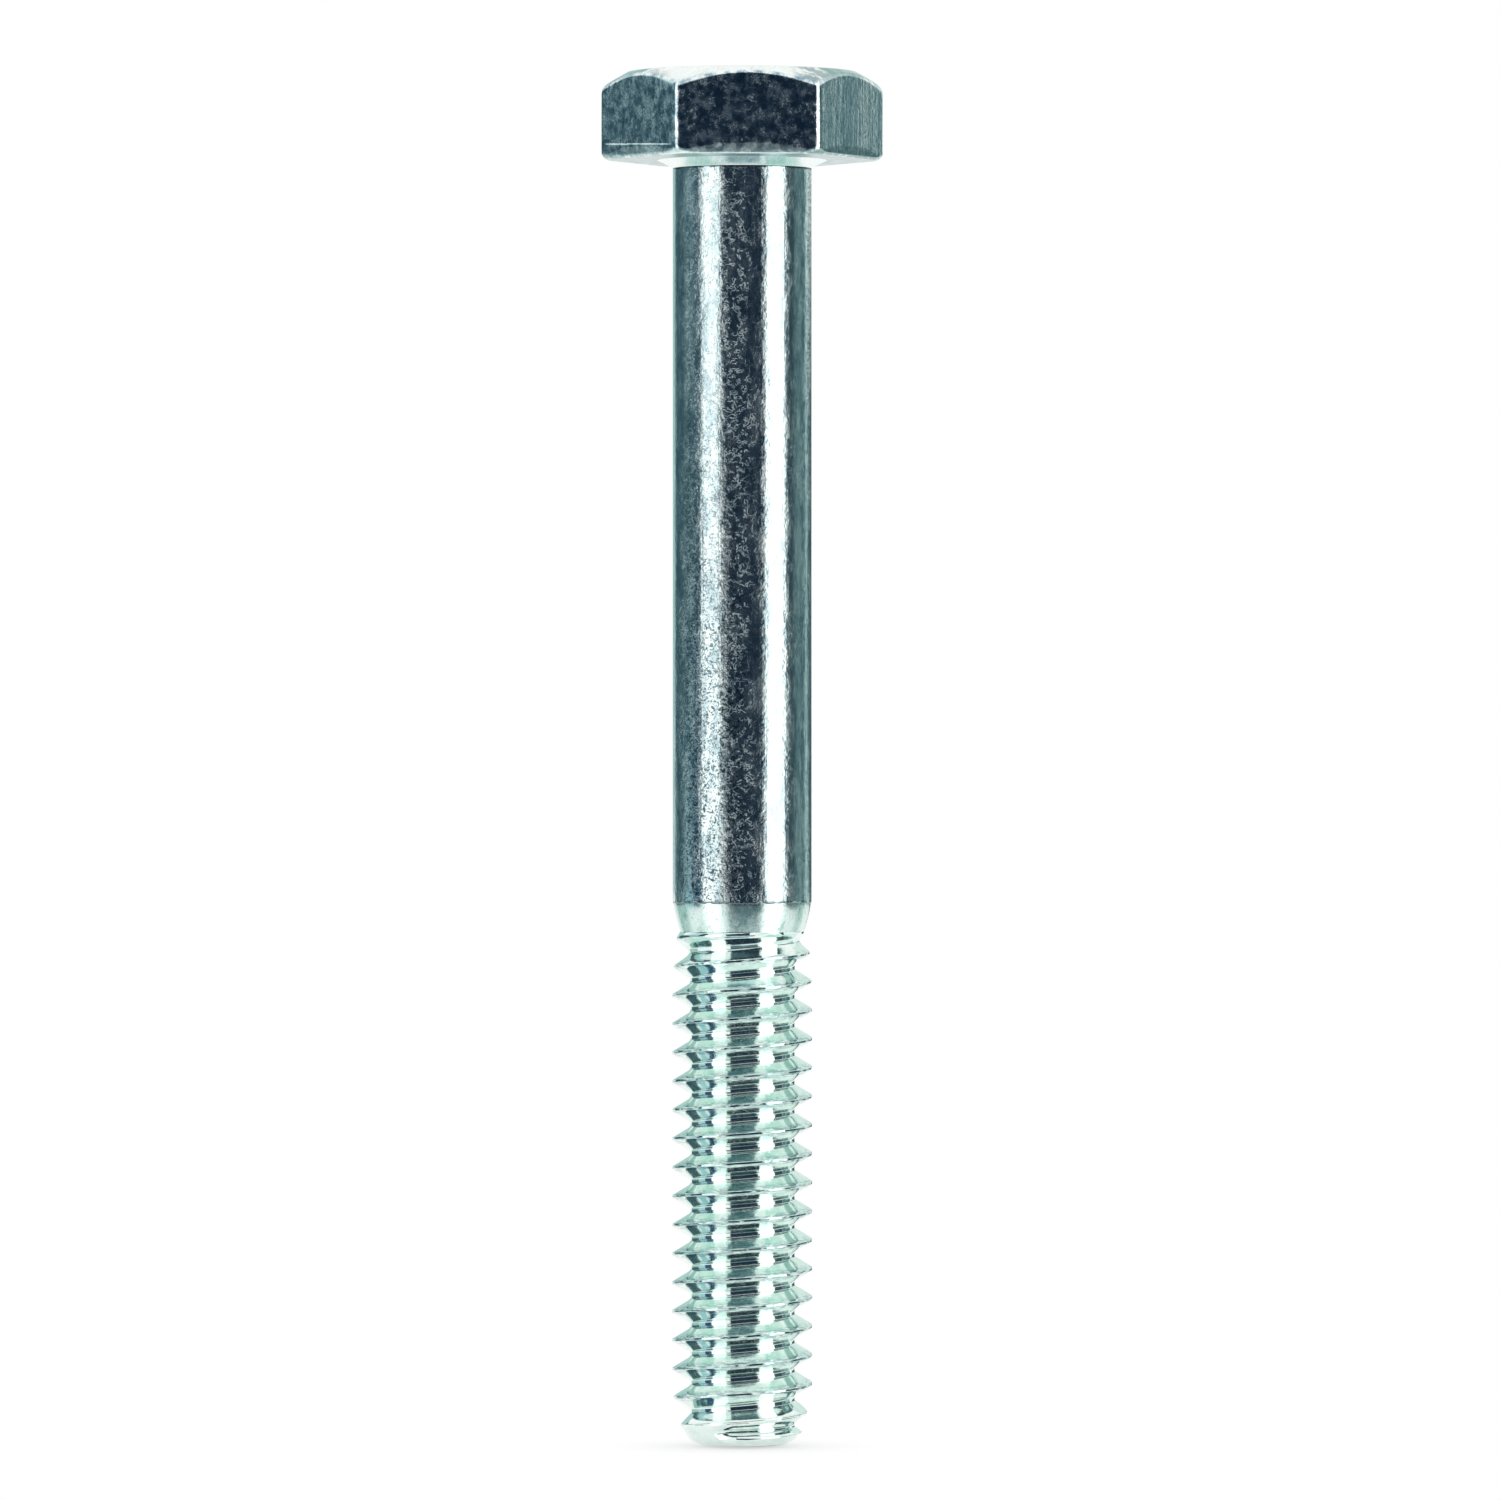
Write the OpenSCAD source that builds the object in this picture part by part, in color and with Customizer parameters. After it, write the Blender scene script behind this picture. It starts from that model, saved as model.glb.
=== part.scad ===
// Hex bolt with a partly threaded shank, plated with zinc.
// The bolt is one forging. Each module below is one named region of it, and the regions meet face to face.
// Lengths are in millimetres. The origin is the centre of the bearing face under the head,
// +Z runs out of the top of the head and two of the wrench flats face +Y and -Y.

/* [Head] */
// Width of the head across its flats
across_flats = 10.9; // [10.3:0.05:11.15]
// Height of the head above its bearing face
head_height = 3.88; // [3.5:0.02:4.8]
// Distance from the rim of the flat top in to the flats, at their middle
top_inset = 0.1; // [0.05:0.05:0.6]
// Slope of the chamfer around the top of the head, in degrees
chamfer_angle = 30; // [20:1:35]
// Radius of the six upright edges of the head
edge_radius = 0.3; // [0.1:0.05:0.6]
// Radius that rounds the head's corners off at the chamfer
top_corner_radius = 0.5; // [0.2:0.05:0.8]
// Radius that rounds the head's corners off at the bearing face
bottom_corner_radius = 0.36; // [0.15:0.03:0.6]

/* [Shank] */
// Diameter of the plain shank
shank_diameter = 6.14; // [5.8:0.02:6.6]
// Length from the bearing face to the end of the plain shank
shank_length = 32.88; // [20:0.5:40]
// How far the underhead fillet flares out beyond the shank
fillet_flare = 0.68; // [0.3:0.02:1]
// Height of the underhead fillet
fillet_height = 0.36; // [0.2:0.02:0.8]
// How deep the fillet's root reaches up inside the head
fillet_root = 1; // [0.5:0.1:2]

/* [Shank taper] */
// Height of the small lip where the plain shank ends
taper_lip = 0.04; // [0.01:0.01:0.1]
// Length of the taper from the shank to the thread
taper_length = 1.22; // [0.6:0.02:3]
// Diameter of the blank that the thread is rolled on
blank_diameter = 5.46; // [5.2:0.02:5.7]

/* [Thread] */
// Length from the bearing face to the end of the bolt
bolt_length = 56.85; // [50:0.5:62]
// Diameter over the crests of the thread
crest_diameter = 6.2; // [6.0:0.02:6.4]
// Distance from one turn of the thread to the next
pitch = 1.27; // [1:0.01:1.5]
// Angle between the two flanks of the thread, in degrees
flank_angle = 60; // [55:1:65]
// Width of the flat crest
crest_width = 0.16; // [0.1:0.01:0.25]
// Width of the rounded root
root_width = 0.2; // [0.1:0.01:0.3]
// How far the rounded root sinks below the ends of the flanks
root_sink = 0.05; // [0.02:0.01:0.1]
// Length over which the thread grows from the blank to its full form
runout_length = 2.8; // [1.5:0.1:5]
// Turn of the whole thread about the bolt's axis, in degrees
thread_turn = 70; // [0:5:355]

/* [Point] */
// Length over which the crests sink away at the end
point_length = 2.4; // [1.5:0.1:4]
// Diameter of the flat end face
point_diameter = 4; // [3.4:0.1:4.4]

/* [Hidden] */

$fn = 96;
// Steps of each short rounding, and of the curves that end the shank
arc_steps = 4;
curve_steps = 5;
// Stations around one turn of the thread
turn_steps = 48;
// Powers that bend the fillet, the taper, the runout and the point: 1 would be a straight slope
fillet_bend = 1.25;
taper_bend = 1.6;
runout_bend = 3;
point_bend = 2.5;
// Length by which a cutter overshoots what it cuts
past = 1;

corner_r = across_flats / 2 / cos(30);
top_r = across_flats / 2 - top_inset;
shank_r = shank_diameter / 2;
fillet_r = shank_r + fillet_flare;
blank_r = blank_diameter / 2;
point_r = point_diameter / 2;

// Heights, from the bearing face at 0 down to the end of the bolt
fillet_z = -fillet_height;
shank_end_z = -shank_length;
thread_top_z = shank_end_z - taper_length;
full_thread_z = thread_top_z - runout_length;
tip_z = -bolt_length;
point_z = tip_z + point_length;

// The thread's section: flat crests, straight flanks and rounded roots, as shares of one pitch
crest_r = crest_diameter / 2;
flank_height = (pitch - crest_width - root_width) / 2 / tan(flank_angle / 2);
root_r = crest_r - flank_height - root_sink;
crest_share = crest_width / 2 / pitch;
root_share = root_width / 2 / pitch;
root_rise = root_sink / (flank_height + root_sink);
ridge_shape = [
    [0, 1],
    [crest_share, 1],
    [0.5 - root_share, root_rise],
    [0.5, 0],
    [0.5 + root_share, root_rise],
    [1 - crest_share, 1],
    [1, 1]
];
// The lines that follow the helix are the corners of that section
line_shares = [for (corner = [1:len(ridge_shape) - 2]) ridge_shape[corner][0]];
turn_lines = len(line_shares);
// A helix line that passes closer than this to a flat end is ended on it
end_snap = pitch / turn_steps / 3;

// Corner points of an arc, as seen from its centre
function arc(centre, radius, from, to) = [
    for (step = [0:arc_steps])
        let (a = from + (to - from) * step / arc_steps)
            centre + radius * [cos(a), sin(a)]
];

// Share of the way from the blank to the full thread at height z
function grown(z) =
    1 - pow(1 - max(0, min(1, (thread_top_z - z) / runout_length)), runout_bend);

// Share of the way from the end face to the full crest at height z
function risen(z) =
    1 - pow(1 - max(0, min(1, (z - tip_z) / point_length)), point_bend);

// Radius of a crest at height z
function crest_at(z) = min(
    blank_r + (crest_r - blank_r) * grown(z),
    point_r + (crest_r - point_r) * risen(z)
);

// Radius of a root at height z
function root_at(z) = min(blank_r + (root_r - blank_r) * grown(z), crest_at(z));

// Height of the ridge over its root, where a crest counts as 1, some turns along from a crest
function ridge(turns) = lookup(turns - floor(turns), ridge_shape);

// Radius of the threaded surface at an angle around the axis and a height
function thread_radius(angle, z) =
    let (turns = (z - tip_z) / pitch - (angle + thread_turn) / 360)
        root_at(z) + (crest_at(z) - root_at(z)) * ridge(turns);

// Outline of the hexagon with its rounded edges
module hexagon() {
    polygon([
        for (corner = [0:5])
            each arc((corner_r - edge_radius / cos(30)) * [cos(60 * corner), sin(60 * corner)],
                edge_radius, 60 * corner - 30, 60 * corner + 30)
    ]);
}

// The turned shape that cuts the chamfer and rounds the corners of the hexagon
module turned_head() {
    top_arc_x = corner_r - top_corner_radius;
    slope_end_x = top_arc_x + top_corner_radius * sin(chamfer_angle);
    slope_end_z = head_height - (slope_end_x - top_r) * tan(chamfer_angle);
    top_arc_z = slope_end_z - top_corner_radius * cos(chamfer_angle);
    rotate_extrude()
        polygon(concat(
            [[0, 0]],
            arc([corner_r - bottom_corner_radius, bottom_corner_radius], bottom_corner_radius, -90, 0),
            arc([top_arc_x, top_arc_z], top_corner_radius, 0, 90 - chamfer_angle),
            [[top_r, head_height], [0, head_height]]
        ));
}

// A stretch of the threaded rod between two heights, as one closed surface with flat ends
module threaded_rod(low_z, high_z) {
    // One turn of lines lies under the low end, so that the seam between the last and first
    // stations closes there
    first_turn = floor((low_z - tip_z) / pitch) - 3;
    last_turn = ceil((high_z - tip_z) / pitch) + 1;
    lines = (last_turn - first_turn) * turn_lines;
    top_line = lines - 1;

    function line_z(station, line) =
        tip_z + pitch * (first_turn + floor(line / turn_lines) + line_shares[line % turn_lines]
            + station / turn_steps + thread_turn / 360);
    function held_z(z) = z < low_z + end_snap ? low_z : z > high_z - end_snap ? high_z : z;
    function vertex(station, line) =
        station == turn_steps ? vertex(0, min(top_line, line + turn_lines)) :
        let (z = held_z(line_z(station, line)))
            station * lines + (z == low_z ? 0 : z == high_z ? top_line : line);

    points = [
        for (station = [0:turn_steps - 1], line = [0:top_line])
            let (
                angle = 360 * station / turn_steps,
                z = held_z(line_z(station, line)),
                r = thread_radius(angle, z)
            )
                [r * cos(angle), r * sin(angle), z]
    ];
    sides = [
        for (station = [0:turn_steps - 1], line = [0:top_line - 1])
            let (
                a = vertex(station, line),
                b = vertex(station + 1, line),
                c = vertex(station + 1, line + 1),
                d = vertex(station, line + 1)
            )
                each [if (a != d && d != c && c != a) [a, d, c], if (a != c && c != b && b != a) [a, c, b]]
    ];
    low_end = [for (station = [0:turn_steps - 1]) vertex(station, 0)];
    high_end = [for (station = [turn_steps - 1:-1:0]) vertex(station, top_line)];
    polyhedron(points, concat(sides, [low_end, high_end]), convexity = 10);
}

// The hexagonal head. The fillet's root fills the round seat in its underside.
module hex_head() {
    color("slategray")
        difference() {
            intersection() {
                translate([0, 0, -past])
                    linear_extrude(head_height + 2 * past)
                        hexagon();
                turned_head();
            }
            translate([0, 0, -past])
                cylinder(r = fillet_r, h = fillet_root + past);
        }
}

// The flare under the head, with its root inside the head
module underhead_fillet() {
    color("powderblue")
        rotate_extrude()
            polygon(concat(
                [[0, fillet_root], [0, fillet_z]],
                [for (step = [0:curve_steps])
                    let (share = step / curve_steps)
                        [shank_r + fillet_flare * pow(share, fillet_bend), fillet_z * (1 - share)]],
                [[fillet_r, fillet_root]]
            ));
}

// The plain round body
module shank() {
    color("cadetblue")
        translate([0, 0, shank_end_z])
            cylinder(r = shank_r, h = fillet_z - shank_end_z);
}

// The shoulder that brings the shank down to the rolled blank
module shank_taper() {
    lip_r = shank_r - taper_lip;
    color("powderblue")
        rotate_extrude()
            polygon(concat(
                [[0, thread_top_z], [0, shank_end_z]],
                [for (step = [0:curve_steps])
                    let (share = step / curve_steps)
                        [lip_r - (lip_r - blank_r) * pow(share, taper_bend), shank_end_z - taper_length * share]]
            ));
}

// The first turns, where the thread grows out of the blank
module thread_runout() {
    color("lightsteelblue")
        threaded_rod(full_thread_z, thread_top_z);
}

// The turns with the full section
module thread() {
    color("lightsteelblue")
        threaded_rod(point_z, full_thread_z);
}

// The last turns, which sink away to the flat end
module point() {
    color("powderblue")
        threaded_rod(tip_z, point_z);
}

hex_head();
underhead_fillet();
shank();
shank_taper();
thread_runout();
thread();
point();
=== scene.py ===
import math

import bpy
import numpy as np
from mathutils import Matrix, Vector

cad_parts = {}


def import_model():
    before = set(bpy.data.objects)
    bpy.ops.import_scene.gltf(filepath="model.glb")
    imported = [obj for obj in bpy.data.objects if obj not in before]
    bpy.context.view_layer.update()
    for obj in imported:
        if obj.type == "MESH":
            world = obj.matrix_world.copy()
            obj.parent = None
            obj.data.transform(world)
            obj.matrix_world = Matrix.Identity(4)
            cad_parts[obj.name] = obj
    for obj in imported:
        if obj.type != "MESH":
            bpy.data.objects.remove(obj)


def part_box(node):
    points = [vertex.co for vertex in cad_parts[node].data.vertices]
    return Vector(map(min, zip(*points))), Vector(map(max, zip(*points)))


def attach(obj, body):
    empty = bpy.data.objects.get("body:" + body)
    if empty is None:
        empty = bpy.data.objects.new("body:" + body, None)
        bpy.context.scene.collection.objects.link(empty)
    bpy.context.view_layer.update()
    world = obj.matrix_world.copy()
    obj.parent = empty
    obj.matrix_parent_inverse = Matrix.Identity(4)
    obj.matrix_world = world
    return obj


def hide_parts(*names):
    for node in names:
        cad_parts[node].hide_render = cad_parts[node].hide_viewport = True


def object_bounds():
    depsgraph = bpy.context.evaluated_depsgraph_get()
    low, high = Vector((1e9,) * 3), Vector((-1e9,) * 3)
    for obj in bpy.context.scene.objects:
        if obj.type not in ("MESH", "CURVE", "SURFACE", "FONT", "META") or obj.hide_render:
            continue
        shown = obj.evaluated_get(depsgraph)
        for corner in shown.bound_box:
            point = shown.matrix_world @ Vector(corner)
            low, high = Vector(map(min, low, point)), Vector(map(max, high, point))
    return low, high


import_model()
cad_low, cad_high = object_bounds()

MM = 0.001
X, Y, Z = 0, 1, 2


# ---------------------------------------------------------------- sizes, in millimetres, from the frame

def lowest(node):
    """The low corner of a node's box."""
    return np.array(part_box(node)[0]) / MM


def highest(node):
    """The high corner of a node's box."""
    return np.array(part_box(node)[1]) / MM


HALF_FLATS = highest("hex_head")[Y]
HEAD_TOP = highest("hex_head")[Z]
FILLET_R = highest("underhead_fillet")[X]
FILLET_ROOT = highest("underhead_fillet")[Z]
SHANK_R = highest("shank")[X]
FILLET_BOTTOM = highest("shank")[Z]
SHANK_END = lowest("shank")[Z]
THREAD_TOP = lowest("shank_taper")[Z]
FULL_THREAD = lowest("thread_runout")[Z]
TIP = lowest("point")[Z]


# ---------------------------------------------------------------- meshes

FULL_TURN = 2 * math.pi
# Faces that meet at a larger angle than this keep a sharp edge
SHARP_ANGLE = math.radians(33)
# How fast the waves of a random line shrink as they get shorter
WAVE_FALL = 0.6
# A flat end has a ring of points at this share of its radius
INNER_RING = 0.5


def smooth_step(x):
    """Rises smoothly from 0 to 1 while x does."""
    x = np.clip(x, 0, 1)
    return x * x * (3 - 2 * x)


def around(count):
    """Even angles around the axis."""
    return np.linspace(0, FULL_TURN, count, endpoint=False)


def wave_noise(angle, strength, seed, waves=14, lowest_wave=2):
    """A random line around the axis that closes on itself, between about -strength and strength."""
    line = np.random.default_rng(seed)
    total = np.zeros_like(angle)
    for wave in range(lowest_wave, lowest_wave + waves):
        total += line.normal() * np.cos(wave * angle + line.uniform(0, FULL_TURN)) / wave ** WAVE_FALL
    return strength * total / np.abs(total).max()


def piece(name, points, faces, material, nodes):
    """Makes a piece of the object from points in millimetres, in place of the CAD nodes."""
    mesh = bpy.data.meshes.new(name)
    mesh.from_pydata((np.asarray(points) * MM).tolist(), [], faces)
    mesh.polygons.foreach_set("use_smooth", [True] * len(mesh.polygons))
    mesh.set_sharp_from_angle(angle=SHARP_ANGLE)
    mesh.materials.append(material)
    mesh.update()
    made = bpy.data.objects.new(name, mesh)
    bpy.context.scene.collection.objects.link(made)
    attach(made, "root")
    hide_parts(*nodes)


def lathe(angles, radii, heights, low_pole, high_pole):
    """A closed form between two poles: radii and heights hold one row of points for each angle, upwards."""
    x = radii * np.cos(angles)[:, None]
    y = radii * np.sin(angles)[:, None]
    grid = np.stack([x, y, heights], axis=-1).reshape(-1, 3)
    points = np.vstack([[[0, 0, low_pole]], grid, [[0, 0, high_pole]]])
    columns, rows = radii.shape
    last_pole = 1 + columns * rows
    faces = []
    for column in range(columns):
        here = 1 + column * rows
        there = 1 + (column + 1) % columns * rows
        faces.append((0, there, here))
        for row in range(rows - 1):
            faces.append((here + row, there + row, there + row + 1, here + row + 1))
        faces.append((here + rows - 1, there + rows - 1, last_pole))
    return points, faces


class Rows:
    """Rows of points around the axis, from the bottom up."""

    def __init__(self, count):
        self.count = count
        self.radii = []
        self.heights = []

    def add(self, radii, heights):
        radii, heights = np.broadcast_arrays(radii, heights)
        self.radii.append(np.broadcast_to(radii, (self.count, radii.shape[1])))
        self.heights.append(np.broadcast_to(heights, (self.count, heights.shape[1])))

    def ring(self, radius, height):
        """A level ring, the same all the way around."""
        self.add(np.full((1, 1), radius), np.full((1, 1), height))

    def top(self):
        return self.radii[-1][:, -1:], self.heights[-1][:, -1:]

    def joined(self):
        return np.hstack(self.radii), np.hstack(self.heights)


def shares(steps):
    """From 0 to 1 in even steps, as a row."""
    return np.linspace(0, 1, steps + 1)[None, :]


def arc(start, end, steps):
    """Angles along an arc between two directions in degrees, as a row."""
    return np.radians(np.linspace(start, end, steps + 1))[None, :]


# ---------------------------------------------------------------- the head

SIDE_TURN = math.pi / 3
HALF_SIDE = math.pi / 6
CHAMFER_DEGREES = 30
SHOULDER_DEGREES = 90 - CHAMFER_DEGREES
CHAMFER = math.radians(CHAMFER_DEGREES)
TOP_INSET = 0.36
TOP_R = HALF_FLATS - TOP_INSET
TOP_ROUND = 0.15
# Radius of the six upright edges
EDGE_R = 0.42
# Radius of the shoulder under the chamfer at a face's middle, and how much more it is at the edges
SHOULDER_ROUND = 0.26
SHOULDER_EDGE_ROUND = 0.3
# Radius of the rounding under the upright edges, which starts this far from the axis
EDGE_FOOT_ROUND = 0.36
EDGE_START_R = 5.95

# What the trimming die left at the foot of each face, counted from 30 degrees on: how high its torn strip
# reaches, how far that falls towards the edges and tilts, how deep the strip lies, the burr above it and
# the rounding below it
TORN_HEIGHT = np.array([0.38, 0.46, 0.3, 0.555, 0.5, 0.32])
TORN_FALL = np.array([0.2, 0.25, 0.15, 0.0, 0.3, 0.1])
TORN_TILT = np.array([0.05, -0.05, 0.0, -0.15, 0.0, 0.04])
TORN_DEPTH = np.array([0.04, 0.05, 0.04, 0.045, 0.09, 0.03])
TORN_BURR = np.array([0.0, 0.0, 0.0, 0.024, 0.0, 0.0])
FOOT_ROUND = np.array([0.12, 0.1, 0.12, 0.19, 0.09, 0.14])
# The strip and the burr end on the way to an edge, over this stretch of the way from flat to corner
TORN_END, TORN_END_WIDTH = 0.72, 0.2
# How uneven the top of the strip is, and the share of the burr's size that stays and that varies
TORN_UNEVEN = 0.012
BURR_SHARE, BURR_UNEVEN = 0.75, 0.25
# Half the burr's width, and half the height of the close rows around it
BURR_HALF = 0.035
CLOSE_HALF = 0.045
# Least height of the strip above the rounding
STRIP_LEAST = 0.03


def hex_radius(angles):
    """Distance from the axis to the head's side at each angle, with the six upright edges rounded."""
    corner = HALF_FLATS / math.cos(HALF_SIDE)
    off = (angles + HALF_SIDE) % SIDE_TURN - HALF_SIDE
    centre = corner - EDGE_R / math.cos(HALF_SIDE)
    turn = math.atan2(EDGE_R / 2, centre + EDGE_R * math.cos(HALF_SIDE))
    flat = HALF_FLATS / np.cos(HALF_SIDE - np.abs(off))
    rounded = centre * np.cos(off) + np.sqrt(np.maximum(EDGE_R ** 2 - (centre * np.sin(off)) ** 2, 0))
    return np.where(np.abs(off) < turn, rounded, flat)


def head_angles(per_side=72):
    """Angles around the head, closer together near its six edges."""
    t = np.arange(-per_side // 2, per_side // 2) / (per_side / 2)
    off = np.sign(t) * np.abs(t) ** 2 * math.pi / 6
    return np.concatenate([side * math.pi / 3 + off for side in range(6)])


class TornFoot:
    """The torn strip and the burr at the foot of the head's faces, at each angle."""

    def __init__(self, angles, corner_share):
        face = (angles // SIDE_TURN).astype(int) % 6
        across = np.tan(angles % SIDE_TURN - HALF_SIDE) / math.tan(HALF_SIDE)
        on_face = (1 - smooth_step((corner_share - TORN_END) / TORN_END_WIDTH))[:, None]
        top = TORN_HEIGHT[face] - TORN_FALL[face] * across ** 2 + TORN_TILT[face] * across
        self.top = (top + wave_noise(angles, TORN_UNEVEN, 3, 60, 8))[:, None]
        self.depth = TORN_DEPTH[face][:, None] * on_face
        uneven = (BURR_SHARE + wave_noise(angles, BURR_UNEVEN, 5, 90, 12))[:, None]
        self.burr = TORN_BURR[face][:, None] * on_face * uneven
        self.rounding = FOOT_ROUND[face][:, None]

    def worn(self, heights):
        """How far the side lies inside the plain face at these heights."""
        below = np.clip(1 - heights / self.top, 0, 1)
        ridge = np.clip(1 - np.abs(heights - self.top) / BURR_HALF, 0, 1)
        return self.depth * below ** 2 - self.burr * smooth_step(ridge)


def foot_rows(rows, side, rounding, foot):
    """The bearing face, from the fillet's seat out, and the rounding at its rim."""
    rows.ring(FILLET_R, FILLET_ROOT)
    rim = side - rounding - foot.worn(0 * side)
    out = shares(8)
    rows.add(FILLET_R + (rim - FILLET_R) * out, 0 * out)
    turn = arc(-90, 0, 9)[:, 1:]
    heights = rounding * (1 + np.sin(turn))
    rows.add(side - rounding + rounding * np.cos(turn) - foot.worn(heights), heights)


def side_rows(rows, side, rounding, shoulder_z, foot):
    """The upright side, with rows close together where the torn strip ends in its burr."""
    close_z = np.maximum(foot.top - CLOSE_HALF, rounding + STRIP_LEAST)
    strip_z = rounding + (close_z - rounding) * shares(8)[:, 1:]
    rows.add(side - foot.worn(strip_z), strip_z)
    burr_z = close_z + np.linspace(0, 2 * CLOSE_HALF, 9)[None, 1:]
    rows.add(side - foot.worn(burr_z), burr_z)
    start_z = burr_z[:, -1:]
    plain_z = start_z + (shoulder_z - start_z) * shares(13)[:, 1:-1]
    rows.add(side - foot.worn(plain_z), plain_z)


def top_rows(rows, side, shoulder_z, rounding):
    """The shoulder, the chamfer and the flat top, in to the axis."""
    turn = arc(0, SHOULDER_DEGREES, 10)
    rows.add(side - rounding + rounding * np.cos(turn), shoulder_z + rounding * np.sin(turn))
    start_r, start_z = rows.top()
    rim_r = TOP_R - TOP_ROUND * math.tan(CHAMFER / 2)
    turn = arc(SHOULDER_DEGREES, 90, 5)
    arc_r = rim_r + TOP_ROUND * np.cos(turn)
    arc_z = HEAD_TOP - TOP_ROUND + TOP_ROUND * np.sin(turn)
    up = shares(9)[:, 1:-1]
    rows.add(start_r + (arc_r[:, :1] - start_r) * up, start_z + (arc_z[:, :1] - start_z) * up)
    rows.add(arc_r, arc_z)
    inward = np.linspace(1, 0, 9)[None, 1:-1]
    rows.add(rim_r * inward, np.full_like(inward, HEAD_TOP))


def head_piece(material):
    angles = head_angles()
    side_r = hex_radius(angles)
    side = side_r[:, None]
    corner_share = (side_r - HALF_FLATS) / (side_r.max() - HALF_FLATS)
    near_edge = smooth_step((side - EDGE_START_R) / (side.max() - EDGE_START_R))
    foot = TornFoot(angles, corner_share)
    foot_round = foot.rounding * (1 - near_edge) + EDGE_FOOT_ROUND * near_edge
    shoulder_round = SHOULDER_ROUND + SHOULDER_EDGE_ROUND * corner_share[:, None]
    shoulder_rise = shoulder_round * math.tan(math.radians(SHOULDER_DEGREES) / 2)
    shoulder_z = HEAD_TOP - (side - TOP_R) * math.tan(CHAMFER) - shoulder_rise

    rows = Rows(len(angles))
    foot_rows(rows, side, foot_round, foot)
    side_rows(rows, side, foot_round, shoulder_z, foot)
    top_rows(rows, side, shoulder_z, shoulder_round)
    points, faces = lathe(angles, *rows.joined(), FILLET_ROOT, HEAD_TOP)
    piece("hex_head_forging", points, faces, material, ["hex_head"])


# ---------------------------------------------------------------- the shank and its two ends

FILLET_BEND = 1.25
# The ragged line where the plain shank ends: its least height over the taper, its unevenness, its edge
RAGGED_LEAST = 0.02
RAGGED_HEIGHT = 0.09
RAGGED_ROUND = 0.07
TAPER_BEND = 1.3
TAPER_LIP = 0.04
# How far the taper reaches up inside the shank's ragged end
TAPER_ROOT = 0.2
# Radius of the blank that the thread is rolled on
BLANK_R = 2.73


def turned(name, profile, low_pole, high_pole, material, node, columns=288):
    """A turned piece from the points of its half section, upwards."""
    radii, heights = np.array(profile).T
    radii = np.tile(radii, (columns, 1))
    heights = np.tile(heights, (columns, 1))
    points, faces = lathe(around(columns), radii, heights, low_pole, high_pole)
    piece(name, points, faces, material, [node])


def fillet_piece(material):
    flare = FILLET_R - SHANK_R
    profile = [(SHANK_R * INNER_RING, FILLET_BOTTOM)]
    for share in np.linspace(0, 1, 25):
        profile.append((SHANK_R + flare * share ** FILLET_BEND, FILLET_BOTTOM * (1 - share)))
    profile.append((FILLET_R, FILLET_ROOT))
    profile.append((FILLET_R * INNER_RING, FILLET_ROOT))
    turned("underhead_flare", profile, FILLET_BOTTOM, FILLET_ROOT, material, "underhead_fillet")


def shank_piece(material):
    angles = around(360)
    ragged = np.abs(wave_noise(angles, RAGGED_HEIGHT, 11, 40, 3))
    end = (SHANK_END + RAGGED_LEAST + ragged)[:, None]
    turn = arc(-90, 0, 6)
    edge_z = end + RAGGED_ROUND * (1 + np.sin(turn))
    start_z = edge_z[:, -1:]

    rows = Rows(len(angles))
    rows.add(np.full((1, 1), SHANK_R * INNER_RING), end)
    rows.add(SHANK_R - RAGGED_ROUND + RAGGED_ROUND * np.cos(turn), edge_z)
    rows.add(np.full((1, 1), SHANK_R), start_z + (FILLET_BOTTOM - start_z) * shares(59)[:, 1:])
    rows.ring(SHANK_R * INNER_RING, FILLET_BOTTOM)
    points, faces = lathe(angles, *rows.joined(), SHANK_END, FILLET_BOTTOM)
    piece("drawn_shank", points, faces, material, ["shank"])


def taper_piece(material):
    lip_r = SHANK_R - TAPER_LIP
    hidden_z = SHANK_END + TAPER_ROOT
    profile = [(BLANK_R * INNER_RING, THREAD_TOP)]
    for share in np.linspace(1, 0, 30):
        radius = lip_r - (lip_r - BLANK_R) * share ** TAPER_BEND
        profile.append((radius, SHANK_END - (SHANK_END - THREAD_TOP) * share))
    profile.append((lip_r, hidden_z))
    profile.append((lip_r * INNER_RING, hidden_z))
    turned("reduced_shoulder", profile, THREAD_TOP, hidden_z, material, "shank_taper")


# ---------------------------------------------------------------- the thread

PITCH = 1.27
CREST_R = 3.1
CREST_FLAT = 0.05
CREST_CORNER = 0.05
ROOT_FLAT = 0.13
ROOT_CORNER = 0.08
FLANK = math.radians(31)
THREAD_TURN = 70 / 360
CORNERS = (CREST_CORNER + ROOT_CORNER) * math.cos(FLANK)
CORNERS_DEPTH = (CREST_CORNER + ROOT_CORNER) * (1 - math.sin(FLANK))
FLANK_DEPTH = ((PITCH - CREST_FLAT - ROOT_FLAT) / 2 - CORNERS) / math.tan(FLANK)
THREAD_DEPTH = FLANK_DEPTH + CORNERS_DEPTH
ROOT_R = CREST_R - THREAD_DEPTH

# Stations around one turn, the turns that are wound below the tip, and the spare turns at both ends
# together
STATIONS = 160
TURNS_BELOW = 3
SPARE_TURNS = 5
# The random values along the helix have this many knots, and the first one lies this many turns below 0
KNOTS = 5000
TURNS_BEFORE = 10
# A line that passes closer than this to an end lies on it
END_SNAP = 0.004
# The turns at the tip are lifted by up to this, over this height, as they run out
TIP_LIFT = 0.42
TIP_LIFT_HEIGHT = 1.15

# Powers that bend the crests' and the roots' way out of the blank
CREST_GROWTH = 0.35
ROOT_GROWTH = 4.5
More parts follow.
